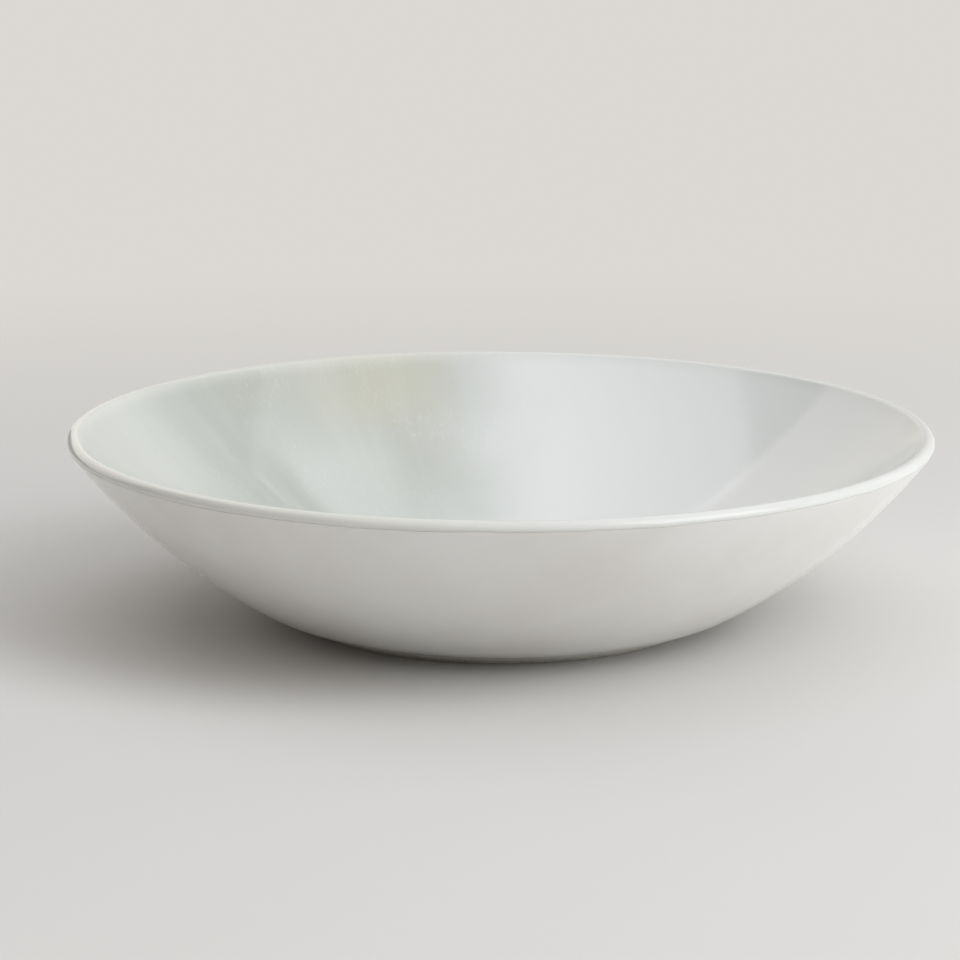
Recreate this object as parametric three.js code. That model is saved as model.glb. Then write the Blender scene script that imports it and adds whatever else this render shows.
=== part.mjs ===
// A low bowl in glazed stoneware, built as it is made: a pressed clay body with a turned foot ring,
// a thick reactive glaze inside that laps over the lip, a thin white glaze outside, and the same
// white glaze in the recess under the foot. Only the ring that the bowl stands on is bare clay.
// Millimetres, +Z up, origin at the centre of the foot ring, on the surface that the bowl stands on.
import * as THREE from "three";

const degrees = THREE.MathUtils.degToRad;

// The finished bowl, over its glaze
const RIM_DIAMETER = 230;
const HEIGHT = 51;

// Glaze coats
const INNER_GLAZE = 0.7;
const OUTER_GLAZE = 0.35;
const BASE_GLAZE = 0.3;
const FUSE_GAP = 0.05; // clearance between the clay and the coat that is fused to it
const LAP_LENGTH = 2.4; // how far the inner glaze runs down outside, along the clay from the lip's crest
const GLAZE_GROOVE = 0.2; // groove where the inner and the outer glaze meet under the lip
const BARE_SIDE = 0.5; // bare clay on the foot ring's sides, above its rounded edges

// Lip, wall and floor of the clay body
const LIP_THICKNESS = 2.6;
const FLOOR_THICKNESS = 4.8;
const HEEL_RADIUS = 35;
const HEEL_SLOPE = degrees(8); // slope of the underside where it leaves the foot ring
const WALL_SLOPE = degrees(31); // slope of the outer wall where it leaves the heel
const WELL_DIAMETER = 94; // the gently dished floor inside
const DISH_RADIUS = 1500;
const KNEE_RADIUS = 40; // bend from the floor to the inner wall
const KNEE_SLOPE = degrees(30.5); // slope of the inner wall where it leaves the bend

// Foot ring of the clay body
const FOOT_DIAMETER = 107;
const FOOT_WIDTH = 4.6;
const FOOT_HEIGHT = 2.2;
const FOOT_RECESS = 1.9; // height of the underside inside the ring
const FOOT_EDGE_RADIUS = 0.6;
const FOOT_FILLET = 0.9;
const FOOT_SIDE_SLOPE = degrees(76);

// Finishes
const BARE_CLAY = { color: "#cdc3b4", roughness: 0.9, metalness: 0 };
const REACTIVE_GLAZE = { color: "#dbe1de", roughness: 0.12, metalness: 0 };
const WHITE_GLAZE = { color: "#e2e0db", roughness: 0.14, metalness: 0 };

// Facets
const SEGMENTS = 60; // around the bowl
const CHORD_ERROR = 0.08; // along its profile

// Outlines are lists of arcs and straights that run on from one another, with the clay on their left.
const point = (x, y) => new THREE.Vector2(x, y);
const towards = (angle, length) => point(Math.cos(angle) * length, Math.sin(angle) * length);

function arc(centre, radius, start, end) {
  return new THREE.EllipseCurve(centre.x, centre.y, radius, radius, start, end, end < start);
}

// An arc that leaves a point at one heading and turns until it has another.
function turn(start, radius, heading, newHeading) {
  const quarter = Math.sign(newHeading - heading) * (Math.PI / 2);
  const centre = start.clone().add(towards(heading + quarter, radius));
  return arc(centre, radius, heading - quarter, newHeading - quarter);
}

// An arc that turns left from a point and heading until it touches a circle. The circle lies to the
// arc's left where its signed radius is positive, and to its right where that is negative.
function turnOnto(start, heading, centre, signedRadius) {
  const offset = start.clone().sub(centre);
  const left = towards(heading + Math.PI / 2, 1);
  const radius = (signedRadius ** 2 - offset.lengthSq()) / (2 * (offset.dot(left) + signedRadius));
  const middle = start.clone().add(left.multiplyScalar(radius));
  return arc(middle, radius, heading - Math.PI / 2, Math.atan2(centre.y - middle.y, centre.x - middle.x));
}

// Where a fillet of this radius starts and ends, measured from the corner that it rounds.
const filletReach = (radius, turned) => radius * Math.tan(turned / 2);

function reversed(outline) {
  return outline.map(flip).reverse();
}

function flip(piece) {
  if (piece.isLineCurve) return new THREE.LineCurve(piece.v2, piece.v1);
  return arc(point(piece.aX, piece.aY), piece.xRadius, piece.aEndAngle, piece.aStartAngle);
}

// The part of an outline between two distances along it.
function between(outline, from, to) {
  let travelled = 0;
  return outline.flatMap((piece) => {
    const length = piece.getLength();
    const first = Math.max(0, (from - travelled) / length);
    const last = Math.min(1, (to - travelled) / length);
    travelled += length;
    return first < last ? [stretch(piece, first, last)] : [];
  });
}

function stretch(piece, first, last) {
  if (piece.isLineCurve) return new THREE.LineCurve(piece.getPoint(first), piece.getPoint(last));
  const angle = (share) => THREE.MathUtils.lerp(piece.aStartAngle, piece.aEndAngle, share);
  return arc(point(piece.aX, piece.aY), piece.xRadius, angle(first), angle(last));
}

const lengthOf = (outline) => outline.reduce((sum, piece) => sum + piece.getLength(), 0);

// The points of an outline moved sideways, away from the clay. Each arc keeps the steps that it has
// on the clay, so the facets of a coat lie parallel to those under it.
function pointsBeside(outline, distance) {
  return outline.flatMap((piece, index) => {
    const points = beside(piece, distance).getPoints(stepsOf(piece));
    return index === 0 ? points : points.slice(1);
  });
}

function beside(piece, distance) {
  if (piece.isLineCurve) {
    const shift = towards(piece.v2.clone().sub(piece.v1).angle() - Math.PI / 2, distance);
    return new THREE.LineCurve(piece.v1.clone().add(shift), piece.v2.clone().add(shift));
  }
  const radius = piece.xRadius + (piece.aClockwise ? -distance : distance);
  return arc(point(piece.aX, piece.aY), radius, piece.aStartAngle, piece.aEndAngle);
}

function stepsOf(piece) {
  if (piece.isLineCurve) return 1;
  const widestStep = 2 * Math.acos(1 - CHORD_ERROR / piece.xRadius);
  return Math.ceil(Math.abs(piece.aEndAngle - piece.aStartAngle) / widestStep);
}

// Outside of the foot ring, from its contact face up to where the underside leaves it.
function footOutside() {
  const edge = point(FOOT_DIAMETER / 2, 0);
  const corner = edge.clone().add(towards(FOOT_SIDE_SLOPE, FOOT_HEIGHT / Math.sin(FOOT_SIDE_SLOPE)));
  const edgeReach = filletReach(FOOT_EDGE_RADIUS, FOOT_SIDE_SLOPE);
  const cornerReach = filletReach(FOOT_FILLET, FOOT_SIDE_SLOPE - HEEL_SLOPE);
  const rounding = turn(point(edge.x - edgeReach, 0), FOOT_EDGE_RADIUS, 0, FOOT_SIDE_SLOPE);
  const sideTop = corner.clone().sub(towards(FOOT_SIDE_SLOPE, cornerReach));
  const side = new THREE.LineCurve(rounding.getPoint(1), sideTop);
  return { rounding, side, fillet: turn(sideTop, FOOT_FILLET, FOOT_SIDE_SLOPE, HEEL_SLOPE) };
}

// Inside of the foot ring, from the centre of the recess down to its contact face.
function footInside() {
  const edge = point(FOOT_DIAMETER / 2 - FOOT_WIDTH, 0);
  const corner = edge.clone().sub(towards(-FOOT_SIDE_SLOPE, FOOT_RECESS / Math.sin(FOOT_SIDE_SLOPE)));
  const edgeReach = filletReach(FOOT_EDGE_RADIUS, FOOT_SIDE_SLOPE);
  const cornerReach = filletReach(FOOT_FILLET, FOOT_SIDE_SLOPE);
  const roof = new THREE.LineCurve(point(0, FOOT_RECESS), point(corner.x - cornerReach, FOOT_RECESS));
  const fillet = turn(roof.v2, FOOT_FILLET, 0, -FOOT_SIDE_SLOPE);
  const sideFoot = edge.clone().sub(towards(-FOOT_SIDE_SLOPE, edgeReach));
  const side = new THREE.LineCurve(fillet.getPoint(1), sideFoot);
  return { roof, fillet, side, rounding: turn(sideFoot, FOOT_EDGE_RADIUS, -FOOT_SIDE_SLOPE, 0) };
}

// The full-round lip of the clay, under the inner glaze that covers it.
const lipRadius = LIP_THICKNESS / 2;
const lipCover = INNER_GLAZE + FUSE_GAP + lipRadius;
const lipCentre = point(RIM_DIAMETER / 2 - lipCover, HEIGHT - lipCover);

// Outer wall: a tight heel over the foot ring, then one long arc up to the lip.
const foot = { outside: footOutside(), inside: footInside() };
const heel = turn(foot.outside.fillet.getPoint(1), HEEL_RADIUS, HEEL_SLOPE, WALL_SLOPE);
const outerWall = turnOnto(heel.getPoint(1), WALL_SLOPE, lipCentre, lipRadius);

// Inner wall, from the centre of the well out to the lip: dished floor, bend, long arc.
const wellEdgeSlope = Math.asin(WELL_DIAMETER / 2 / DISH_RADIUS);
const dish = turn(point(0, FOOT_RECESS + FLOOR_THICKNESS), DISH_RADIUS, 0, wellEdgeSlope);
const knee = turn(dish.getPoint(1), KNEE_RADIUS, wellEdgeSlope, KNEE_SLOPE);
const innerWall = turnOnto(knee.getPoint(1), KNEE_SLOPE, lipCentre, -lipRadius);

const lip = {
  under: arc(lipCentre, lipRadius, outerWall.aEndAngle, 0),
  outer: arc(lipCentre, lipRadius, 0, Math.PI / 2),
  inner: arc(lipCentre, lipRadius, Math.PI / 2, innerWall.aEndAngle + Math.PI),
};

const outside = [foot.outside.side, foot.outside.fillet, heel, outerWall, lip.under, lip.outer];
const inside = [lip.inner, ...reversed([dish, knee, innerWall])];
const recess = [foot.inside.roof, foot.inside.fillet, foot.inside.side];
const contact = new THREE.LineCurve(foot.inside.rounding.getPoint(1), foot.outside.rounding.getPoint(0));
const lapStart = lengthOf(outside) - LAP_LENGTH;

// Turns a profile of radius and height about the bowl's axis.
function revolve(name, profile, finish) {
  const geometry = new THREE.LatheGeometry(profile, SEGMENTS).rotateX(Math.PI / 2);
  const mesh = new THREE.Mesh(geometry, new THREE.MeshStandardMaterial(finish));
  mesh.name = name;
  return mesh;
}

// The clay is cut at the ends of its coats, so that their facets start and end together.
function stonewareBody() {
  const edges = [BARE_SIDE, lapStart - GLAZE_GROOVE, lapStart, lengthOf(outside)];
  const outerFace = edges.flatMap((end, index) => between(outside, edges[index - 1] ?? 0, end));
  const bareInside = lengthOf(recess) - BARE_SIDE;
  const recessFace = [...between(recess, 0, bareInside), ...between(recess, bareInside, lengthOf(recess))];
  const ring = [foot.inside.rounding, contact, foot.outside.rounding];
  const profile = pointsBeside([...recessFace, ...ring, ...outerFace, ...inside], 0);
  return revolve("stoneware_body", profile, BARE_CLAY);
}

// The two faces of a coat of glaze over a stretch of the clay's outline: the glossy one along the
// outline, and the fused one back again.
function coatFaces(outline, thickness) {
  const glossy = pointsBeside(outline, FUSE_GAP + thickness);
  const fused = pointsBeside(outline, FUSE_GAP).reverse();
  return { glossy, fused };
}

function innerGlaze() {
  const lap = between(outside, lapStart, lengthOf(outside));
  const { glossy, fused } = coatFaces([...lap, ...inside], INNER_GLAZE);
  return revolve("inner_glaze", [...fused, ...glossy], REACTIVE_GLAZE);
}

function outerGlaze() {
  const { glossy, fused } = coatFaces(between(outside, BARE_SIDE, lapStart - GLAZE_GROOVE), OUTER_GLAZE);
  return revolve("outer_glaze", [...glossy, ...fused, glossy[0]], WHITE_GLAZE);
}

function baseGlaze() {
  const { glossy, fused } = coatFaces(between(recess, 0, lengthOf(recess) - BARE_SIDE), BASE_GLAZE);
  return revolve("base_glaze", [...glossy, ...fused], WHITE_GLAZE);
}

const bowl = new THREE.Group();
bowl.name = "low_bowl";
bowl.add(stonewareBody(), innerGlaze(), outerGlaze(), baseGlaze());

export default bowl;
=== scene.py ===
"""A low stoneware bowl: a clay body under three coats of glaze, on a plain studio floor."""

import cmath
import logging
import math
from dataclasses import dataclass, field
from enum import Enum
from typing import Any

import bpy
from mathutils import Matrix, Vector


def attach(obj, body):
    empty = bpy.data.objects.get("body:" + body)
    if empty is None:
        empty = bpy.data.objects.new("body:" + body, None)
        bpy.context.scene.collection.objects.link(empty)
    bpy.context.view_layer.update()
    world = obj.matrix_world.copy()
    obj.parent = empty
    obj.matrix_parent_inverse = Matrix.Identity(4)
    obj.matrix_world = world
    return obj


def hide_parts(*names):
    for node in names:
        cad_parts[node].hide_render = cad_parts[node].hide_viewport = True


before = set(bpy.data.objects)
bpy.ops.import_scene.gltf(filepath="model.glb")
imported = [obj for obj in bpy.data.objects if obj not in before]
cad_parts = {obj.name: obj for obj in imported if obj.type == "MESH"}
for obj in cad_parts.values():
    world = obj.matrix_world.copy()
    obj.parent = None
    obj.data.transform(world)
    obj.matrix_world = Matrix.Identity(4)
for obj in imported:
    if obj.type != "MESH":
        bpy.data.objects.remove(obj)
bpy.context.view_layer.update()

LOG = logging.getLogger("low_bowl")
MM = 0.001

Tree = bpy.types.NodeTree
Node = bpy.types.Node
Socket = bpy.types.NodeSocket
Span = tuple[float, float]
Place = tuple[float, float, float]


def srgb(code: str) -> tuple[float, ...]:
    """Turn an sRGB hex colour into the linear colour that a shader takes.

    Args:
        code: The colour as "#rrggbb".

    Returns:
        Linear red, green, blue and an alpha of 1.
    """
    shares = [int(code[place:place + 2], 16) / 255 for place in (1, 3, 5)]
    linear = [s / 12.92 if s <= 0.04045 else ((s + 0.055) / 1.055) ** 2.4 for s in shares]
    return (*linear, 1.0)


def feed(tree: Tree, node: Node, feeds: dict[Any, Any]) -> None:
    """Feed those of a node's inputs that its settings leave in use.

    Args:
        tree: The node's tree.
        node: The node.
        feeds: For an input's name or index, the value that it takes or the output that is linked to it.
            A node stands for its first output in use.
    """
    inputs = [socket for socket in node.inputs if socket.enabled]
    for key, value in feeds.items():
        target = inputs[key] if isinstance(key, int) else next(s for s in inputs if s.name == key)
        source = next(s for s in value.outputs if s.enabled) if isinstance(value, Node) else value
        if isinstance(source, Socket):
            tree.links.new(source, target)
        else:
            target.default_value = source


def add_node(tree: Tree, kind: str, feeds: dict[Any, Any] | None = None, **settings: Any) -> Node:
    """Add a node with its settings and links.

    Args:
        tree: The tree that the node joins.
        kind: The node's type name.
        feeds: What its inputs are fed.
        settings: Properties of the node itself.

    Returns:
        The new node.
    """
    node = tree.nodes.new(kind)
    for name, value in settings.items():
        setattr(node, name, value)
    feed(tree, node, feeds or {})
    return node


def add_object(name: str, data: bpy.types.ID) -> bpy.types.Object:
    """Add an object to the scene.

    Args:
        name: The object's name.
        data: Its mesh, lamp or camera.

    Returns:
        The new object.
    """
    added = bpy.data.objects.new(name, data)
    bpy.context.scene.collection.objects.link(added)
    return added


# Outlines are drawn in the half plane of radius and height, in millimetres, as complex numbers:
# radius + height * 1j. They run with the clay on their left, so aside means away from the clay.


@dataclass(frozen=True)
class Straight:
    """A straight stretch of an outline."""

    start: complex
    end: complex

    @property
    def length(self) -> float:
        """Length in millimetres."""
        return abs(self.end - self.start)

    def heading(self, share: float) -> complex:
        """Direction of travel, which is the same all along."""
        return (self.end - self.start) / self.length

    def point(self, share: float, aside: float) -> complex:
        """The point at a share of the length, moved aside."""
        return self.start + (self.end - self.start) * share - 1j * self.heading(share) * aside

    def part(self, first: float, last: float) -> "Straight":
        """The stretch between two shares of the length."""
        return Straight(self.point(first, 0), self.point(last, 0))

    def steps(self, sagitta: float) -> int:
        """A straight needs one step."""
        return 1


@dataclass(frozen=True)
class Arc:
    """A circular stretch of an outline, from one angle about its centre to another."""

    centre: complex
    radius: float
    start: float
    end: float

    @property
    def hand(self) -> float:
        """1 where the outline turns left, -1 where it turns right."""
        return math.copysign(1.0, self.end - self.start)

    @property
    def length(self) -> float:
        """Length in millimetres."""
        return self.radius * abs(self.end - self.start)

    def spoke(self, share: float) -> complex:
        """Direction from the centre to the point at a share of the length."""
        return cmath.exp(1j * (self.start + (self.end - self.start) * share))

    def heading(self, share: float) -> complex:
        """Direction of travel at a share of the length."""
        return 1j * self.hand * self.spoke(share)

    def point(self, share: float, aside: float) -> complex:
        """The point at a share of the length, moved aside."""
        return self.centre + (self.radius + self.hand * aside) * self.spoke(share)

    def part(self, first: float, last: float) -> "Arc":
        """The stretch between two shares of the length."""
        sweep = self.end - self.start
        return Arc(self.centre, self.radius, self.start + sweep * first, self.start + sweep * last)

    def steps(self, sagitta: float) -> int:
        """How many chords keep within a sagitta of the arc."""
        widest = 2 * math.acos(1 - min(sagitta / self.radius, 1))
        return max(2, math.ceil(abs(self.end - self.start) / widest))


Stretch = Straight | Arc


@dataclass(frozen=True)
class Outline:
    """Stretches that run on from one another."""

    stretches: tuple[Stretch, ...]

    def __add__(self, other: "Outline") -> "Outline":
        """One outline after another."""
        return Outline(self.stretches + other.stretches)

    @property
    def length(self) -> float:
        """Length in millimetres."""
        return sum(stretch.length for stretch in self.stretches)

    def flipped(self) -> "Outline":
        """The same outline, travelled the other way."""
        return Outline(tuple(stretch.part(1.0, 0.0) for stretch in reversed(self.stretches)))

    def between(self, first: float, last: float) -> "Outline":
        """Cut out a part of the outline.

        Args:
            first: Where the part starts, in millimetres along the outline.
            last: Where it ends.

        Returns:
            The part between them.
        """
        kept, travelled = [], 0.0
        for stretch in self.stretches:
            start = max(0.0, (first - travelled) / stretch.length)
            end = min(1.0, (last - travelled) / stretch.length)
            travelled += stretch.length
            if start < end:
                kept.append(stretch.part(start, end))
        return Outline(tuple(kept))

    def stations(self, sagitta: float) -> list[tuple[Stretch, float]]:
        """Find the places along the outline that its points are taken at.

        Args:
            sagitta: How far a chord may stray from an arc, in millimetres.

        Returns:
            The stretch and the share of its length for each place, both ends included.
        """
        found = [(self.stretches[0], 0.0)]
        for stretch in self.stretches:
            count = stretch.steps(sagitta)
            found += [(stretch, (step + 1) / count) for step in range(count)]
        return found


def turn(start: complex, radius: float, heading: float, new_heading: float) -> Arc:
    """An arc that leaves a point at one heading and turns until it has another.

    Args:
        start: Where the arc starts.
        radius: Its radius in millimetres.
        heading: Its first direction, in radians.
        new_heading: Its last direction.

    Returns:
        The arc.
    """
    quarter = math.copysign(math.pi / 2, new_heading - heading)
    centre = start + radius * cmath.exp(1j * (heading + quarter))
    return Arc(centre, radius, heading - quarter, new_heading - quarter)


def turn_onto(start: complex, heading: float, centre: complex, signed_radius: float) -> Arc:
    """An arc that turns left from a point and heading until it touches a circle.

    Args:
        start: Where the arc starts.
        heading: Its first direction, in radians.
        centre: The circle's centre.
        signed_radius: The circle's radius, negative where the circle lies to the arc's right.

    Returns:
        The arc.
    """
    offset = start - centre
    left = 1j * cmath.exp(1j * heading)
    across = (offset * left.conjugate()).real
    radius = (signed_radius**2 - abs(offset) ** 2) / (2 * (across + signed_radius))
    middle = start + radius * left
    return Arc(middle, radius, heading - math.pi / 2, cmath.phase(centre - middle))


@dataclass(frozen=True)
class BowlForm:
    """The bowl's sizes in millimetres and degrees, and the outlines that follow from them."""

    rim_diameter: float = 230
    height: float = 51
    inner_glaze: float = 0.7
    outer_glaze: float = 0.35
    base_glaze: float = 0.3
    fuse_gap: float = 0.05
    lap_length: float = 2.4
    glaze_groove: float = 0.035
    bare_side: float = 0.5
    lip_thickness: float = 2.6
    floor_thickness: float = 4.8
    heel_radius: float = 35
    heel_slope: float = 8
    wall_slope: float = 31
    well_diameter: float = 94
    dish_radius: float = 1500
    knee_radius: float = 40
    knee_slope: float = 30.5
    foot_diameter: float = 107
    foot_width: float = 4.6
    foot_height: float = 2.2
    foot_recess: float = 1.9
    foot_edge_radius: float = 0.9
    foot_fillet: float = 0.5
    foot_side_slope: float = 76

    @property
    def lip_cover(self) -> float:
        """From the finished rim to the centre of the clay's rounded lip."""
        return self.inner_glaze + self.fuse_gap + self.lip_thickness / 2

    @property
    def lip_centre(self) -> complex:
        """Centre of the clay's rounded lip."""
        return complex(self.rim_diameter / 2 - self.lip_cover, self.height - self.lip_cover)

    def outer_foot(self) -> Outline:
        """Draw the outside of the foot ring.

        Returns:
            The outline from the ring's contact face to where the underside leaves it.
        """
        slope, heel = math.radians(self.foot_side_slope), math.radians(self.heel_slope)
        up = cmath.exp(1j * slope)
        edge = complex(self.foot_diameter / 2, 0)
        corner = edge + up * self.foot_height / math.sin(slope)
        rounding_start = edge - self.foot_edge_radius * math.tan(slope / 2)
        rounding = turn(rounding_start, self.foot_edge_radius, 0, slope)
        side_top = corner - up * self.foot_fillet * math.tan((slope - heel) / 2)
        side = Straight(rounding.point(1, 0), side_top)
        return Outline((rounding, side, turn(side_top, self.foot_fillet, slope, heel)))

    def inner_foot(self) -> Outline:
        """Draw the recess inside the foot ring.

        Returns:
            The outline from the middle of the recess to the ring's contact face.
        """
        slope = math.radians(self.foot_side_slope)
        down = cmath.exp(-1j * slope)
        edge = complex(self.foot_diameter / 2 - self.foot_width, 0)
        corner = edge - down * self.foot_recess / math.sin(slope)
        roof = Straight(complex(0, self.foot_recess), corner - self.foot_fillet * math.tan(slope / 2))
        fillet = turn(roof.end, self.foot_fillet, 0, -slope)
        side_foot = edge - down * self.foot_edge_radius * math.tan(slope / 2)
        side = Straight(fillet.point(1, 0), side_foot)
        return Outline((roof, fillet, side, turn(side_foot, self.foot_edge_radius, -slope, 0)))

    def heel(self) -> Arc:
        """The tight bend over the foot ring."""
        start = self.outer_foot().stretches[-1].point(1, 0)
        return turn(start, self.heel_radius, math.radians(self.heel_slope), math.radians(self.wall_slope))

    def outer_wall(self) -> Arc:
        """The long arc from the heel to the lip."""
        start, heading = self.heel().point(1, 0), math.radians(self.wall_slope)
        return turn_onto(start, heading, self.lip_centre, self.lip_thickness / 2)

    def well(self) -> Outline:
        """Draw the inside of the bowl: dished floor, bend, long arc.

        Returns:
            The outline from the middle of the floor out to the lip.
        """
        dish_slope = math.asin(self.well_diameter / 2 / self.dish_radius)
        knee_slope = math.radians(self.knee_slope)
        middle = complex(0, self.foot_recess + self.floor_thickness)
        dish = turn(middle, self.dish_radius, 0, dish_slope)
        knee = turn(dish.point(1, 0), self.knee_radius, dish_slope, knee_slope)
        wall = turn_onto(knee.point(1, 0), knee_slope, self.lip_centre, -self.lip_thickness / 2)
        return Outline((dish, knee, wall))

    def lip(self, start: float, end: float) -> Arc:
        """The clay's rounded lip between two angles about its centre."""
        return Arc(self.lip_centre, self.lip_thickness / 2, start, end)

    def outside(self) -> Outline:
        """From the foot ring's rounded edge up to the crest of the lip."""
        lip = self.lip(self.outer_wall().end, math.pi / 2)
        return Outline((*self.outer_foot().stretches[1:], self.heel(), self.outer_wall(), lip))

    def inside(self) -> Outline:
        """From the crest of the lip down to the middle of the floor."""
        well = self.well()
        return Outline((self.lip(math.pi / 2, well.stretches[-1].end + math.pi),)) + well.flipped()

    def recess(self) -> Outline:
        """From the middle of the recess to the foot ring's rounded edge."""
        return Outline(self.inner_foot().stretches[:-1])

    def ring(self) -> Outline:
        """The foot ring's two rounded edges and the contact face between them."""
        inner, outer = self.inner_foot().stretches[-1], self.outer_foot().stretches[0]
        return Outline((inner, Straight(inner.point(1, 0), outer.point(0, 0)), outer))


@dataclass
class Profile:
    """The points of a profile to be turned, with what the turning does to each of them."""

    points: list[complex] = field(default_factory=list)
    runs: list[complex] = field(default_factory=list)
    glosses: list[float] = field(default_factory=list)

    def add(self, point: complex, run: complex = 0j, gloss: float = 0.0) -> None:
        """Add a point.

        Args:
            point: Radius and height in millimetres.
            run: How the point moves where the glaze runs a millimetre further.
            gloss: 1 on a free glaze surface, which ripples a little, and 0 elsewhere.
        """
        self.points.append(point)
        self.runs.append(run)
        self.glosses.append(gloss)

    def mesh(self, name: str) -> bpy.types.Mesh:
        """Make the profile a mesh of bare edges, in the X Z plane.

        Args:
            name: The mesh's name.

        Returns:
            The mesh, in metres, with the runs and glosses as attributes.
        """
        mesh = bpy.data.meshes.new(name)
        places = [(p.real * MM, 0.0, p.imag * MM) for p in self.points]
        mesh.from_pydata(places, [(i, i + 1) for i in range(len(places) - 1)], [])
        run = mesh.attributes.new("run", "FLOAT_VECTOR", "POINT")
        run.data.foreach_set("vector", [share for r in self.runs for share in (r.real, 0.0, r.imag)])
        gloss = mesh.attributes.new("gloss", "FLOAT", "POINT")
        gloss.data.foreach_set("value", self.glosses)
        return mesh


@dataclass(frozen=True)
class Wheel:
    """A potter's wheel in Geometry Nodes: it turns a profile into a closed body about the Z axis.

    Sizes are in millimetres, and a range is the span of a noise that has the whole effect.
    """

    name: str = "potters_wheel"
    segments: int = 360
    run_height: float = 0.28
    runs_round_rim: float = 46
    run_detail: float = 2
    run_range: Span = (0.25, 0.75)
    ripple_height: float = 0.05
    ripple_size: float = 34
    ripple_detail: float = 1
    ripple_range: Span = (0.2, 0.8)
    seed: int = 7
    merge_distance: float = 0.002

    def tree(self) -> Tree:
        """Build the node tree.

        Returns:
            A tree that takes a profile's edges and gives the turned body.
        """
        tree = bpy.data.node_groups.new(self.name, "GeometryNodeTree")
        for name, kind in (
            ("Profile", "Geometry"), ("Segments", "Int"), ("Run height", "Float"),
            ("Runs round rim", "Float"), ("Ripple height", "Float"), ("Ripple size", "Float"),
            ("Seed", "Float"), ("Merge distance", "Float"), ("Finish", "Material"),
        ):
            tree.interface.new_socket(name, in_out="INPUT", socket_type="NodeSocket" + kind)
        tree.interface.new_socket("Body", in_out="OUTPUT", socket_type="NodeSocketGeometry")
        given = add_node(tree, "NodeGroupInput").outputs
        rippled = self.rippled(tree, given, self.turned(tree, given))
        smooth = add_node(tree, "GeometryNodeSetShadeSmooth", {"Geometry": rippled})
        whole = add_node(tree, "GeometryNodeRealizeInstances", {"Geometry": smooth})
        dressed = add_node(tree, "GeometryNodeSetMaterial", {"Geometry": whole, "Material": given["Finish"]})
        add_node(tree, "NodeGroupOutput", {"Body": dressed})
        return tree

    def turned(self, tree: Tree, given: bpy.types.NodeOutputs) -> Node:
        """Turn the profile.

        Args:
            tree: The wheel's tree.
            given: The tree's inputs.

        Returns:
            The node that gives the closed body.
        """
        # A grid with a row for each profile point and a column for each step round the wheel, which
        # turns clockwise so that the faces point away from the clay.
        rows = add_node(tree, "GeometryNodeAttributeDomainSize", {0: given["Profile"]}, component="MESH")
        columns = add_node(tree, "ShaderNodeMath", {0: given["Segments"], 1: 1.0}, operation="ADD")
        grid = add_node(tree, "GeometryNodeMeshGrid", {"Vertices X": rows, "Vertices Y": columns})
        index = add_node(tree, "GeometryNodeInputIndex")
        place = add_node(tree, "ShaderNodeMath", {0: index, 1: columns}, operation="DIVIDE")
        row = add_node(tree, "ShaderNodeMath", {0: place}, operation="FLOOR")
        column = add_node(tree, "ShaderNodeMath", {0: index, 1: columns}, operation="MODULO")
        share = add_node(tree, "ShaderNodeMath", {0: column, 1: given["Segments"]}, operation="DIVIDE")
        angle = add_node(tree, "ShaderNodeMath", {0: share, 1: -math.tau}, operation="MULTIPLY")
        cosine = add_node(tree, "ShaderNodeMath", {0: angle}, operation="COSINE")
        sine = add_node(tree, "ShaderNodeMath", {0: angle}, operation="SINE")

        # What the profile says at each row.
        said = {}
        for name, kind in (("position", "FLOAT_VECTOR"), ("run", "FLOAT_VECTOR"), ("gloss", "FLOAT")):
            value = add_node(tree, "GeometryNodeInputNamedAttribute", {"Name": name}, data_type=kind)
            feeds = {"Geometry": given["Profile"], "Value": value, "Index": row}
            said[name] = add_node(tree, "GeometryNodeSampleIndex", feeds, data_type=kind, domain="POINT")

        # The glaze runs further at some places of the rim than at others.
        number = given["Runs round rim"]
        closeness = add_node(tree, "ShaderNodeMath", {0: number, 1: math.tau}, operation="DIVIDE")
        spoke = add_node(tree, "ShaderNodeCombineXYZ", {"X": cosine, "Y": sine})
        waves = add_node(tree, "ShaderNodeTexNoise", {
            "Vector": spoke, "W": given["Seed"], "Scale": closeness, "Detail": self.run_detail,
        }, noise_dimensions="4D")
        wave = add_node(tree, "ShaderNodeMapRange", {
            "Value": waves, "From Min": self.run_range[0], "From Max": self.run_range[1],
            "To Min": -1.0, "To Max": 1.0}, clamp=False)
        reach = add_node(tree, "ShaderNodeMath", {0: wave, 1: given["Run height"]}, operation="MULTIPLY")
        section = add_node(tree, "ShaderNodeVectorMath", {
            0: said["run"], 1: reach, 2: said["position"]}, operation="MULTIPLY_ADD")

        parts = add_node(tree, "ShaderNodeSeparateXYZ", {0: section}).outputs
        upright = add_node(tree, "ShaderNodeCombineXYZ", {"Z": parts["Z"]})
        turned = add_node(tree, "ShaderNodeVectorMath", {
            0: spoke, 1: parts["X"], 2: upright}, operation="MULTIPLY_ADD")
        body = add_node(tree, "GeometryNodeSetPosition", {"Geometry": grid, "Position": turned})
        marked = add_node(tree, "GeometryNodeStoreNamedAttribute", {
            "Geometry": body, "Name": "gloss", "Value": said["gloss"]}, data_type="FLOAT", domain="POINT")
        return add_node(tree, "GeometryNodeMergeByDistance", {
            "Geometry": marked, "Distance": given["Merge distance"]})

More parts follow.
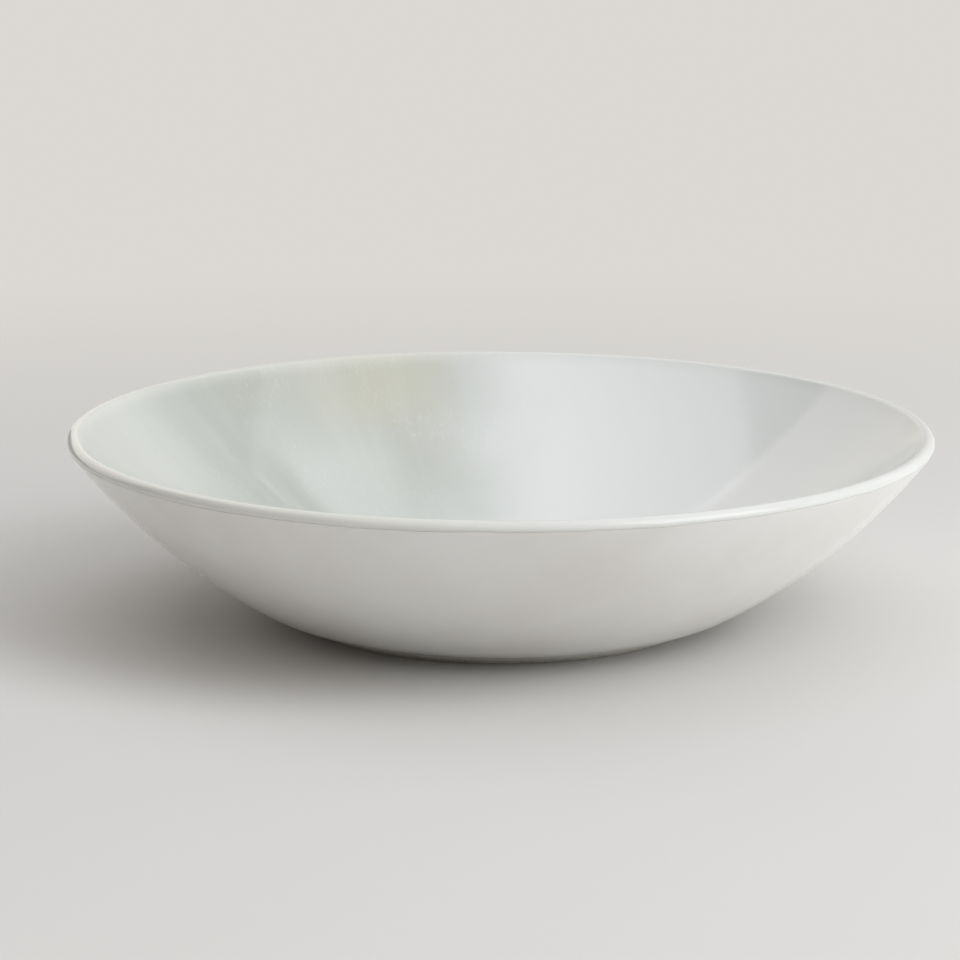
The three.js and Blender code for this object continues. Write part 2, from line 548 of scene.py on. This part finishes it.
    def rippled(self, tree: Tree, given: bpy.types.NodeOutputs, body: Node) -> Node:
        """Ripple the glossy faces inwards: melted glaze is never quite true, as long reflections show.

        Args:
            tree: The wheel's tree.
            given: The tree's inputs.
            body: The node that gives the turned body.

        Returns:
            The node that gives the rippled body.
        """
        fineness = add_node(tree, "ShaderNodeMath", {0: 1.0, 1: given["Ripple size"]}, operation="DIVIDE")
        noise = add_node(tree, "ShaderNodeTexNoise", {
            "W": given["Seed"], "Scale": fineness, "Detail": self.ripple_detail}, noise_dimensions="4D")
        ripple = add_node(tree, "ShaderNodeMapRange", {
            "Value": noise, "From Min": self.ripple_range[0], "From Max": self.ripple_range[1],
            "To Min": -1.0, "To Max": 0.0})
        gloss = add_node(tree, "GeometryNodeInputNamedAttribute", {"Name": "gloss"}, data_type="FLOAT")
        weighed = add_node(tree, "ShaderNodeMath", {0: ripple, 1: gloss}, operation="MULTIPLY")
        height = given["Ripple height"]
        depth = add_node(tree, "ShaderNodeMath", {0: weighed, 1: height}, operation="MULTIPLY")
        normal = add_node(tree, "GeometryNodeInputNormal")
        shift = add_node(tree, "ShaderNodeVectorMath", {0: normal, "Scale": depth}, operation="SCALE")
        return add_node(tree, "GeometryNodeSetPosition", {"Geometry": body, "Offset": shift})

    def throw(self, name: str, profile: Profile, finish: bpy.types.Material) -> bpy.types.Object:
        """Turn a profile and make the result a plain mesh.

        Args:
            name: Name of the piece.
            profile: Its profile.
            finish: Its material.

        Returns:
            The finished object, at the origin.
        """
        piece = add_object(name, profile.mesh(name + "_profile"))
        tree = bpy.data.node_groups.get(self.name) or self.tree()
        settings = {
            "Segments": self.segments, "Run height": self.run_height * MM,
            "Runs round rim": self.runs_round_rim, "Ripple height": self.ripple_height * MM,
            "Ripple size": self.ripple_size * MM, "Seed": float(self.seed),
            "Merge distance": self.merge_distance * MM, "Finish": finish,
        }
        wheel = piece.modifiers.new(self.name, "NODES")
        wheel.node_group = tree
        for socket in tree.interface.items_tree:
            if socket.name in settings:
                wheel[socket.identifier] = settings[socket.name]
        evaluated = piece.evaluated_get(bpy.context.evaluated_depsgraph_get())
        mesh = bpy.data.meshes.new_from_object(evaluated)
        mesh.name = name
        piece.modifiers.clear()
        piece.data = mesh
        return piece


class Slot(Enum):
    """The record's material slots."""

    CLAY = "stoneware_clay"
    REACTIVE = "reactive_glaze"
    WHITE = "white_glaze"


# In the finishes, sizes are in millimetres, a detail is how many finer layers a noise has, and a range
# is the span of a noise over which its mark goes from nothing to full.


@dataclass(frozen=True)
class Finish:
    """What every finish shares: how it shines, and a fine relief that breaks up its reflections."""

    name: str
    roughness: float
    ior: float
    relief_mm: float
    relief_depth_mm: float
    relief_detail: float

    def material(self) -> bpy.types.Material:
        """Build the material.

        Returns:
            A material that is coloured and roughened in the bowl's own coordinates.
        """
        material = bpy.data.materials.new(self.name)
        material.use_nodes = True
        tree = material.node_tree
        place = add_node(tree, "ShaderNodeTexCoord").outputs["Object"]
        relief = add_node(tree, "ShaderNodeTexNoise", {
            "Vector": place, "Scale": 1 / (self.relief_mm * MM), "Detail": self.relief_detail})
        bump = add_node(tree, "ShaderNodeBump", {"Distance": self.relief_depth_mm * MM, "Height": relief})
        feed(tree, tree.nodes["Principled BSDF"], {
            "Base Color": self.colour(tree, place), "Roughness": self.roughness, "IOR": self.ior,
            "Normal": bump})
        return material

    def colour(self, tree: Tree, place: Socket) -> Node:
        """The node that gives the finish's colour."""
        raise NotImplementedError


@dataclass(frozen=True)
class Mottled(Finish):
    """A finish of one colour, speckled or clouded with another."""

    ground: str
    mark: str
    mark_mm: float
    mark_detail: float
    mark_range: Span

    def colour(self, tree: Tree, place: Socket) -> Node:
        """Lay the marks over the ground.

        Args:
            tree: The material's tree.
            place: The bowl's own coordinates, in metres.

        Returns:
            The node that gives the colour.
        """
        noise = add_node(tree, "ShaderNodeTexNoise", {
            "Vector": place, "Scale": 1 / (self.mark_mm * MM), "Detail": self.mark_detail})
        share = add_node(tree, "ShaderNodeMapRange", {
            "Value": noise, "From Min": self.mark_range[0], "From Max": self.mark_range[1]})
        return add_node(tree, "ShaderNodeMix", {
            "Factor": share, "A": srgb(self.ground), "B": srgb(self.mark)}, data_type="RGBA")


@dataclass(frozen=True)
class BareStoneware(Mottled):
    """Fired stoneware, cut on the wheel and left dry: matte buff clay, speckled with a sandy grog."""

    # It looks dry and dusty. Real grog is finer, and is drawn as coarse as it needs to show.
    name: str = "bare_stoneware"
    roughness: float = 0.88
    ior: float = 1.5
    relief_mm: float = 0.35
    relief_depth_mm: float = 0.03
    relief_detail: float = 3
    ground: str = "#c8c3ba"
    mark: str = "#aba499"
    mark_mm: float = 0.5
    mark_detail: float = 2
    mark_range: Span = (0.5, 0.72)


@dataclass(frozen=True)
class WhiteGlaze(Mottled):
    """Opaque white glaze, fired glossy: even and a little warm, clouded where it lies thinner."""

    # It looks smooth and milky, and its reflections waver a little.
    name: str = "white_gloss_glaze"
    roughness: float = 0.13
    ior: float = 1.52
    relief_mm: float = 2.2
    relief_depth_mm: float = 0.006
    relief_detail: float = 1
    ground: str = "#e0e0dd"
    mark: str = "#d8d5cf"
    mark_mm: float = 38
    mark_detail: float = 4
    mark_range: Span = (0.4, 0.8)


@dataclass(frozen=True)
class Spot:
    """Where a place on the inside lies: its direction from the bowl's axis, and its distance in metres."""

    spoke: Node
    radius: Node


@dataclass(frozen=True)
class Drift:
    """A drift of another colour down the inside, mostly where the poured glaze lay thicker or thinner; one is
    a painted dark reflection edge and one a painted patch of light.

    Its angle about the axis and its spread to both sides are in degrees, its radii in millimetres.
    """

    tint: str
    angle: float
    spread: float
    fade_radius: float
    full_radius: float
    strength: float

    def share(self, tree: Tree, spot: Spot) -> Node:
        """How far the drift covers a place.

        Args:
            tree: The material's tree.
            spot: Where the place lies.

        Returns:
            The node that gives the share.
        """
        middle = math.radians(self.angle)
        towards = add_node(tree, "ShaderNodeVectorMath", {
            0: spot.spoke, 1: (math.cos(middle), math.sin(middle), 0.0)}, operation="DOT_PRODUCT")
        beside = add_node(tree, "ShaderNodeMapRange", {
            "Value": towards, "From Min": math.cos(math.radians(self.spread)), "From Max": 1.0,
        }, interpolation_type="SMOOTHSTEP")
        down = add_node(tree, "ShaderNodeMapRange", {
            "Value": spot.radius, "From Min": self.fade_radius * MM, "From Max": self.full_radius * MM,
            "To Max": self.strength}, interpolation_type="SMOOTHSTEP")
        return add_node(tree, "ShaderNodeMath", {0: beside, 1: down}, operation="MULTIPLY")


@dataclass(frozen=True)
class Streaks:
    """Marks drawn out down the wall, the way the melted glaze ran.

    Their width and length are true at a distance from the axis, which is their reach.
    """

    width: float
    length: float
    span: Span
    strength: float
    reach: float = 92
    detail: float = 2

    def share(self, tree: Tree, spot: Spot) -> Node:
        """How far the marks cover a place.

        Args:
            tree: The material's tree.
            spot: Where the place lies.

        Returns:
            The node that gives the share.
        """
        squeeze = self.width / self.length
        down = add_node(tree, "ShaderNodeMath", {0: spot.radius, 1: squeeze}, operation="MULTIPLY")
        along = add_node(tree, "ShaderNodeCombineXYZ", {"Z": down})
        drawn = add_node(tree, "ShaderNodeVectorMath", {
            0: spot.spoke, 1: (self.reach * MM, self.reach * MM, 0.0), 2: along}, operation="MULTIPLY_ADD")
        noise = add_node(tree, "ShaderNodeTexNoise", {
            "Vector": drawn, "Scale": 1 / (self.width * MM), "Detail": self.detail})
        return add_node(tree, "ShaderNodeMapRange", {
            "Value": noise, "From Min": self.span[0], "From Max": self.span[1], "To Max": self.strength})


@dataclass(frozen=True)
class ReactiveGlaze(Finish):
    """Reactive glaze: white that breaks on one half to pale celadon, with icy flecks drawn down the wall."""

    # It looks wet and deep, like thin ice: soft clouds of colour under a clear gloss.
    name: str = "reactive_celadon_glaze"
    roughness: float = 0.1
    ior: float = 1.52
    relief_mm: float = 2.4
    relief_depth_mm: float = 0.006
    relief_detail: float = 1
    white: str = "#e2e5e4"
    celadon: str = "#b9bdb7"
    ice: str = "#d3d8d5"
    thin_celadon: str = "#e0e0db"
    thin_white: str = "#d2d3cf"
    half_line_mm: float = -5
    half_soft_mm: float = 26
    cloud_mm: float = 24
    cloud_detail: float = 4
    cloud_shift_mm: float = 9
    streaks: Streaks = Streaks(7, 55, (0.48, 0.75), 0.2)
    flecks: Streaks = Streaks(0.55, 1.8, (0.55, 0.78), 0.45)
    patch_range: Span = (0.4, 0.58)
    wobble: float = 0.09
    pool: str = "#c2c8c3"
    pool_start_mm: float = 74
    pool_full_mm: float = 36
    crest_start_mm: float = 108.5
    crest_full_mm: float = 114.5
    crest_share: float = 0.75
    drifts_and_painted_light: tuple[Drift, ...] = (
        Drift("#babcb2", 108, 16, 68, 94, 0.5),
        Drift("#c6c4b0", 112, 16, 89, 102, 0.5),
        Drift("#b4b7ad", 126, 20, 96, 107, 0.4),
        Drift("#cdd2ce", 122, 16, 102, 82, 0.6),
        # Painted reflection edge: this dark wedge at 141 degrees paints into the colour the dark edge of a
        # reflection on the inside wall.
        Drift("#a8ada6", 141, 9, 98, 79, 0.6),
        # Painted light: this paler patch at 172 degrees paints light from the right falling on the left of
        # the inside wall.
        Drift("#cfd2cc", 172, 24, 70, 98, 0.7),
        Drift("#c6c4b0", 231, 17, 90, 104, 0.5),
        Drift("#ccd1cd", 212, 18, 104, 84, 0.5),
        Drift("#babcb2", 250, 14, 68, 94, 0.5),
    )

    def poured(self, tree: Tree, spot: Spot, clouds: bpy.types.NodeOutputs) -> Node:
        """Colour the celadon: drift bands where it lay thicker, one of them a painted dark reflection edge
        and one painted light, streaks and flecks where it ran, and a pool.

        Args:
            tree: The material's tree.
            spot: Where a place lies.
            clouds: The outputs of the clouds' noise.

        Returns:
            The node that gives the colour.
        """
        centred = add_node(tree, "ShaderNodeVectorMath", {
            0: clouds["Color"], 1: (0.5, 0.5, 0.5)}, operation="SUBTRACT")
        swayed = add_node(tree, "ShaderNodeVectorMath", {
            0: centred, 1: (self.wobble, self.wobble, 0.0), 2: spot.spoke}, operation="MULTIPLY_ADD")
        bent = Spot(add_node(tree, "ShaderNodeVectorMath", {0: swayed}, operation="NORMALIZE"), spot.radius)
        patch = add_node(tree, "ShaderNodeMapRange", {
            "Value": clouds["Fac"], "From Min": self.patch_range[0], "From Max": self.patch_range[1]})
        flecks = add_node(tree, "ShaderNodeMath", {
            0: self.flecks.share(tree, spot), 1: patch}, operation="MULTIPLY")
        pooled = add_node(tree, "ShaderNodeMapRange", {
            "Value": spot.radius, "From Min": self.pool_start_mm * MM, "From Max": self.pool_full_mm * MM,
        }, interpolation_type="SMOOTHSTEP")
        layers = [(drift.share(tree, bent), drift.tint) for drift in self.drifts_and_painted_light]
        layers += [(self.streaks.share(tree, spot), self.ice), (flecks, self.ice), (pooled, self.pool)]
        ground = srgb(self.celadon)
        for share, tint in layers:
            ground = add_node(tree, "ShaderNodeMix", {
                "Factor": share, "A": ground, "B": srgb(tint)}, data_type="RGBA")
        return ground

    def colour(self, tree: Tree, place: Socket) -> Node:
        """White on one half and poured celadon on the other, both paler over the lip.

        Args:
            tree: The material's tree.
            place: The bowl's own coordinates, in metres.

        Returns:
            The node that gives the colour.
        """
        flat = add_node(tree, "ShaderNodeVectorMath", {0: place, 1: (1.0, 1.0, 0.0)}, operation="MULTIPLY")
        spot = Spot(
            spoke=add_node(tree, "ShaderNodeVectorMath", {0: flat}, operation="NORMALIZE"),
            radius=add_node(tree, "ShaderNodeVectorMath", {0: flat}, operation="LENGTH"))
        clouds = add_node(tree, "ShaderNodeTexNoise", {
            "Vector": place, "Scale": 1 / (self.cloud_mm * MM), "Detail": self.cloud_detail}).outputs

        # The two halves meet in clouds.
        shift = add_node(tree, "ShaderNodeMapRange", {
            "Value": clouds["Fac"], "To Min": -self.cloud_shift_mm * MM, "To Max": self.cloud_shift_mm * MM})
        parts = add_node(tree, "ShaderNodeSeparateXYZ", {0: place}).outputs
        across = add_node(tree, "ShaderNodeMath", {0: parts["X"], 1: shift}, operation="ADD")
        half = add_node(tree, "ShaderNodeMapRange", {
            "Value": across, "From Min": (self.half_line_mm + self.half_soft_mm) * MM,
            "From Max": (self.half_line_mm - self.half_soft_mm) * MM}, interpolation_type="SMOOTHSTEP")
        inside = add_node(tree, "ShaderNodeMix", {
            "Factor": half, "A": srgb(self.white), "B": self.poured(tree, spot, clouds)}, data_type="RGBA")

        # Glaze draws thin towards the lip and over it, and pales where the clay shows through.
        thin = add_node(tree, "ShaderNodeMix", {
            "Factor": half, "A": srgb(self.thin_white), "B": srgb(self.thin_celadon)}, data_type="RGBA")
        crest = add_node(tree, "ShaderNodeMapRange", {
            "Value": spot.radius, "From Min": self.crest_start_mm * MM, "From Max": self.crest_full_mm * MM,
            "To Max": self.crest_share}, interpolation_type="SMOOTHSTEP")
        return add_node(tree, "ShaderNodeMix", {"Factor": crest, "A": inside, "B": thin}, data_type="RGBA")


@dataclass
class Piece:
    """A piece of the bowl: its name, the CAD node that it stands for and that node's material slot."""

    name: str
    node: str
    slot: Slot

    def profile(self) -> Profile:
        """The profile that the wheel turns."""
        raise NotImplementedError

    def build(self, wheel: Wheel, finish: bpy.types.Material) -> bpy.types.Object:
        """Turn the piece and put it in its node's place.

        Args:
            wheel: The wheel that turns it.
            finish: Its material.

        Returns:
            The finished piece.
        """
        piece = wheel.throw(self.name, self.profile(), finish)
        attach(piece, "root")
        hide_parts(self.node)
        return piece


@dataclass
class GlazeCoat(Piece):
    """A coat of glaze over a stretch of the clay, with rolled edges where it ends on the clay.

    The stretch is its outline. Sizes are in millimetres. An edge's thickness passes over to the coat's own
    within its taper, and a running edge wavers round the rim, less and less over the length given.
    """

    outline: Outline
    thickness: float
    fuse_gap: float
    start_thickness: float
    end_thickness: float
    rolled_start: bool = True
    rolled_end: bool = True
    start_taper: float = 0.75
    end_taper: float = 0.8
    running_start: float = 0.0
    running_end: float = 0.0
    fine_sagitta: float = 0.0012
    hidden_sagitta: float = 0.03
    roll_steps: int = 8
    bluntness: float = 0.14

    def profile(self) -> Profile:
        """Draw the coat along its glossy face, and back along the face that is fused to the clay.

        Returns:
            The coat's profile, closed on itself or on the bowl's axis.
        """
        profile = Profile()
        length = self.outline.length
        start = self.reach(self.start_thickness) if self.rolled_start else 0.0
        end = length - self.reach(self.end_thickness) if self.rolled_end else length
        covered = self.outline.between(start, end)

        # Points lie close on the glossy face, where a reflection would show facets.
        travelled, last = start, None
        for stretch, share in covered.stations(self.fine_sagitta):
            below = stretch.point(share, 0)
            travelled += abs(below - last) if last is not None else 0.0
            last = below
            point = stretch.point(share, self.fuse_gap + self.depth(travelled - start, end - travelled))
            profile.add(point, self.run(stretch.heading(share), travelled, length), 1.0)
        if self.rolled_end:
            self.roll(profile, covered.stretches[-1], 1.0, length)
        travelled, last = end, None
        for stretch, share in covered.flipped().stations(self.hidden_sagitta):
            point = stretch.point(share, -self.fuse_gap)
            travelled -= abs(point - last) if last is not None else 0.0
            last = point
            profile.add(point, self.run(-stretch.heading(share), travelled, length))
        if self.rolled_start:
            self.roll(profile, covered.stretches[0], 0.0, length)
            profile.add(profile.points[0], profile.runs[0], 1.0)
        return profile

    def reach(self, thickness: float) -> float:
        """How far a rolled edge stands out from the end of the coat's faces."""
        return thickness / 2 * self.bluntness

    def depth(self, after: float, before: float) -> float:
        """The coat's thickness, which may change towards its edges.

        Args:
            after: The distance from the first edge.
            before: The distance from the last edge.

        Returns:
            The thickness in millimetres.
        """
        first = max(1 - after / self.start_taper, 0.0) ** 2
        last = max(1 - before / self.end_taper, 0.0) ** 2
        at_start, at_end = self.start_thickness - self.thickness, self.end_thickness - self.thickness
        return self.thickness + (at_start * first + at_end * last)

    def run(self, heading: complex, travelled: float, length: float) -> complex:
        """How a point of the coat moves where the glaze runs a millimetre further.

        Args:
            heading: Direction of the outline at the point.
            travelled: How far along the outline the point is.
            length: The outline's length.

        Returns:
            The move, which fades out away from an edge that runs.
        """
        weight = 0.0
        if self.running_start:
            weight = max(weight, 1 - travelled / self.running_start)
        if self.running_end:
            weight = max(weight, 1 - (length - travelled) / self.running_end)
        return heading * weight * weight * (3 - 2 * weight)

    def roll(self, profile: Profile, stretch: Stretch, share: float, length: float) -> None:
        """Add the half round of a rolled edge, between the coat's glossy face and its fused one.

        Args:
            profile: The coat's profile.
            stretch: The stretch that the edge is on.
            share: 0 for the edge at the stretch's start, 1 for the one at its end.
            length: The outline's length.
        """
        half = (self.end_thickness if share else self.start_thickness) / 2
        middle = stretch.point(share, self.fuse_gap + half)
        ahead = stretch.heading(share) * (1 if share else -1)
        outwards = stretch.point(share, 1.0) - stretch.point(share, 0.0)
        run = self.run(stretch.heading(share), length * share, length)
        for step in range(1, self.roll_steps):
            angle = math.pi * step / self.roll_steps
            angle = angle if share else math.pi - angle
            spoke = outwards * math.cos(angle) + ahead * math.sin(angle) * self.bluntness
            profile.add(middle + spoke * half, run)


@dataclass
class ClayBody(Piece):
    """The fired clay: floor, heel, wall, lip and foot ring in one piece."""

    form: BowlForm
    sagitta: float = 0.006

    def profile(self) -> Profile:
        """Draw the clay all round.

        Returns:
            The clay's profile, from the middle of the recess round to the middle of the floor.
        """
        profile = Profile()
        outline = self.form.recess() + self.form.ring() + self.form.outside() + self.form.inside()
        for stretch, share in outline.stations(self.sagitta):
            profile.add(stretch.point(share, 0))
        return profile


@dataclass
class Bowl:
    """The whole bowl: its clay and its coats of glaze.

    The inner coat laps over the lip and meets the outer coat in a seam, where both are equally thick.
    """

    form: BowlForm = BowlForm()
    wheel: Wheel = Wheel()
    seam: float = 0.4
    lap_run: float = 2.2
    wall_run: float = 5.0

    def coats(self) -> list[GlazeCoat]:
        """Lay out the three coats of glaze.

        Returns:
            The coats, over their stretches of the clay.
        """
        form, outside, recess = self.form, self.form.outside(), self.form.recess()
        lap = outside.length - form.lap_length
        return [
            GlazeCoat(
                "inner_glaze_coat", "inner_glaze", Slot.REACTIVE,
                outside.between(lap, outside.length) + form.inside(), form.inner_glaze, form.fuse_gap,
                start_thickness=self.seam, end_thickness=form.inner_glaze, rolled_end=False,
                running_start=self.lap_run),
            GlazeCoat(
                "outer_glaze_coat", "outer_glaze", Slot.WHITE,
                outside.between(form.bare_side, lap - form.glaze_groove), form.outer_glaze, form.fuse_gap,
                start_thickness=form.outer_glaze, end_thickness=self.seam, running_end=self.wall_run),
            GlazeCoat(
                "base_glaze_coat", "base_glaze", Slot.WHITE,
                recess.between(0, recess.length - form.bare_side), form.base_glaze, form.fuse_gap,
                start_thickness=form.base_glaze, end_thickness=form.base_glaze, rolled_start=False),
        ]

    def build(self) -> list[bpy.types.Object]:
        """Build and dress every piece.

        Returns:
            The finished pieces.
        """
        finishes = {
            Slot.CLAY: BareStoneware().material(), Slot.WHITE: WhiteGlaze().material(),
            Slot.REACTIVE: ReactiveGlaze().material(),
        }
        clay = ClayBody("clay_body", "stoneware_body", Slot.CLAY, self.form)
        return [piece.build(self.wheel, finishes[piece.slot]) for piece in (clay, *self.coats())]


@dataclass(frozen=True)
class Lamp:
    """A flat soft lamp: where it hangs and what it faces in metres, its size, and how bright its face is."""

    name: str
    place: Place
    aim: Place
    width: float
    height: float
    radiance: float
    tint: str = "#ffffff"
    mirrored: bool = True

    def build(self) -> None:
        """Hang the lamp, out of the camera's sight. A radiance of 1 is as bright as a white card."""
        data = bpy.data.lights.new(self.name, "AREA")
        data.shape = "RECTANGLE"
        data.size, data.size_y = self.width, self.height
        data.energy = self.radiance * math.pi * self.width * self.height
        data.color = srgb(self.tint)[:3]
        lamp = add_object(self.name, data)
        lamp.location = self.place
        lamp.rotation_euler = (Vector(self.aim) - Vector(self.place)).to_track_quat("-Z", "Y").to_euler()
        lamp.visible_camera = False
        lamp.visible_glossy = self.mirrored


@dataclass(frozen=True)
class Studio:
    """A pale floor under soft light: scrims above, in front and at the right, a softbox and white cards."""

    floor_colour: str = "#d4d3d1"
    bounce_colour: str = "#e6e5e3"
    far_colour: str = "#dbd8d3"
    floor_roughness: float = 0.9
    floor_specular: float = 0.1
    floor_radius: float = 14.0
    floor_sides: int = 96
    fade_start: float = 0.2
    fade_end: float = 0.6
    room_colour: str = "#ffffff"
    room_strength: float = 0.05
    mirror_strength: float = 0.2
    camera_place: Place = (-0.00543, -1.01469, 0.25504)
    camera_pitch: float = -12.15
    camera_roll: float = 0.11
    lens_mm: float = 145.87
    sensor_mm: float = 36.0
    lamps: tuple[Lamp, ...] = (
        Lamp("overhead_scrim", (0.0, 0.3, 3.0), (0.0, 0.3, 0.0), 4.14, 4.8, 1.04, "#fcfdff"),
        Lamp("front_scrim", (0.0, -2.6, 2.2), (0.0, 0.0, 0.0), 4.14, 1.6, 0.58, "#fff5ec"),
        Lamp("right_softbox", (0.851, -0.596, 0.6), (0.0, 0.0, 0.03), 0.8, 0.8, 3.0, "#f8fbff"),
        Lamp("right_scrim", (1.3, -0.9, 1.6), (0.0, 0.0, 0.03), 1.2, 1.2, 2.75, "#fffdfd", False),
        Lamp("back_left_card", (-2.0, 2.0, 1.42), (-2.0, 0.0, 1.42), 2.8, 1.96, 1.02, "#fff7f1"),
        Lamp("back_card", (-0.3, 2.0, 1.2), (-0.3, 0.0, 1.2), 0.6, 2.4, 0.86, "#fffaf1"),
        Lamp("back_right_card", (1.7, 2.0, 1.2), (1.7, 0.0, 1.2), 3.4, 2.4, 0.5, "#fffdfa"),
        Lamp("left_card", (-2.25, 0.0, 0.9), (0.0, 0.0, 0.9), 5.0, 1.8, 0.18, "#fff4ee", False),
        Lamp("front_card", (0.0, -3.0, 0.8), (0.0, 0.0, 0.8), 4.14, 1.6, 0.26, "#fff8f2"),
        Lamp("low_right_card", (1.3, 0.15, 0.2), (0.0, 0.0, 0.03), 1.2, 0.4, 3.2, "#ffffff", False),
    )

    def camera(self) -> None:
        """Place the camera where the photograph was taken from."""
        data = bpy.data.cameras.new("camera")
        data.lens = self.lens_mm
        data.sensor_width = self.sensor_mm
        camera = add_object("camera", data)
        tilt = Matrix.Rotation(math.radians(90 + self.camera_pitch), 4, "X")
        roll = Matrix.Rotation(math.radians(self.camera_roll), 4, "Z")
        camera.matrix_world = Matrix.Translation(self.camera_place) @ tilt @ roll
        bpy.context.scene.camera = camera

    def floor(self) -> None:
        """Lay a round floor."""
        mesh = bpy.data.meshes.new("floor")
        turns = [math.tau * step / self.floor_sides for step in range(self.floor_sides)]
        rim = [cmath.rect(self.floor_radius, angle) for angle in turns]
        mesh.from_pydata([(p.real, p.imag, 0.0) for p in rim], [], [list(range(self.floor_sides))])
        mesh.materials.append(self.floor_paint())
        floor = add_object("floor", mesh)

    def floor_paint(self) -> bpy.types.Material:
        """Paint the floor pale and matte, to show a soft shadow, and fade it to an even tone further off.

        Returns:
            The floor's material.
        """
        material = bpy.data.materials.new("pale_floor")
        material.use_nodes = True
        tree = material.node_tree
        path = add_node(tree, "ShaderNodeLightPath").outputs
        tone = add_node(tree, "ShaderNodeMix", {
            "Factor": path["Is Camera Ray"], "A": srgb(self.bounce_colour), "B": srgb(self.floor_colour),
        }, data_type="RGBA")
        paint = tree.nodes["Principled BSDF"]
        feed(tree, paint, {
            "Base Color": tone, "Roughness": self.floor_roughness, "Specular IOR Level": self.floor_specular})
        place = add_node(tree, "ShaderNodeTexCoord").outputs["Object"]
        distance = add_node(tree, "ShaderNodeVectorMath", {0: place}, operation="LENGTH")
        fade = add_node(tree, "ShaderNodeMapRange", {
            "Value": distance, "From Min": self.fade_start, "From Max": self.fade_end,
        }, interpolation_type="SMOOTHSTEP")
        clear = add_node(tree, "ShaderNodeMath", {
            0: path["Is Glossy Ray"], 1: path["Is Transmission Ray"]}, operation="MAXIMUM")
        shown = add_node(tree, "ShaderNodeMath", {0: path["Is Camera Ray"], 1: clear}, operation="MAXIMUM")
        share = add_node(tree, "ShaderNodeMath", {0: shown, 1: fade}, operation="MULTIPLY")
        glow = add_node(tree, "ShaderNodeEmission", {"Color": srgb(self.far_colour)})
        mixed = add_node(tree, "ShaderNodeMixShader", {0: share, 1: paint, 2: glow})
        feed(tree, tree.nodes["Material Output"], {"Surface": mixed})
        return material

    def room(self) -> None:
        """Fill the room with a little even light, with a pale background that the glaze mirrors dimly."""
        world = bpy.data.worlds.new("studio_room")
        bpy.context.scene.world = world
        world.use_nodes = True
        tree = world.node_tree
        light = tree.nodes["Background"]
        feed(tree, light, {"Color": srgb(self.room_colour), "Strength": self.room_strength})
        pale = add_node(tree, "ShaderNodeBackground", {"Color": srgb(self.far_colour)})
        dim = add_node(tree, "ShaderNodeBackground", {
            "Color": srgb(self.far_colour), "Strength": self.mirror_strength})
        path = add_node(tree, "ShaderNodeLightPath").outputs
        lit = add_node(tree, "ShaderNodeMixShader", {0: path["Is Glossy Ray"], 1: light, 2: dim})
        seen = add_node(tree, "ShaderNodeMath", {
            0: path["Is Camera Ray"], 1: path["Is Transmission Ray"]}, operation="MAXIMUM")
        mixed = add_node(tree, "ShaderNodeMixShader", {0: seen, 1: lit, 2: pale})
        feed(tree, tree.nodes["World Output"], {"Surface": mixed})

    def build(self) -> None:
        """Set up the camera, the lamps, the floor and the room."""
        self.camera()
        for lamp in self.lamps:
            lamp.build()
        self.floor()
        self.room()
        bpy.context.scene.view_settings.view_transform = "Standard"


def main() -> None:
    """Build the studio and the bowl."""
    logging.basicConfig(level=logging.INFO, format="%(message)s")
    Studio().build()
    for piece in Bowl().build():
        LOG.info("%s: %d faces", piece.name, len(piece.data.polygons))


if __name__ == "__main__":
    main()
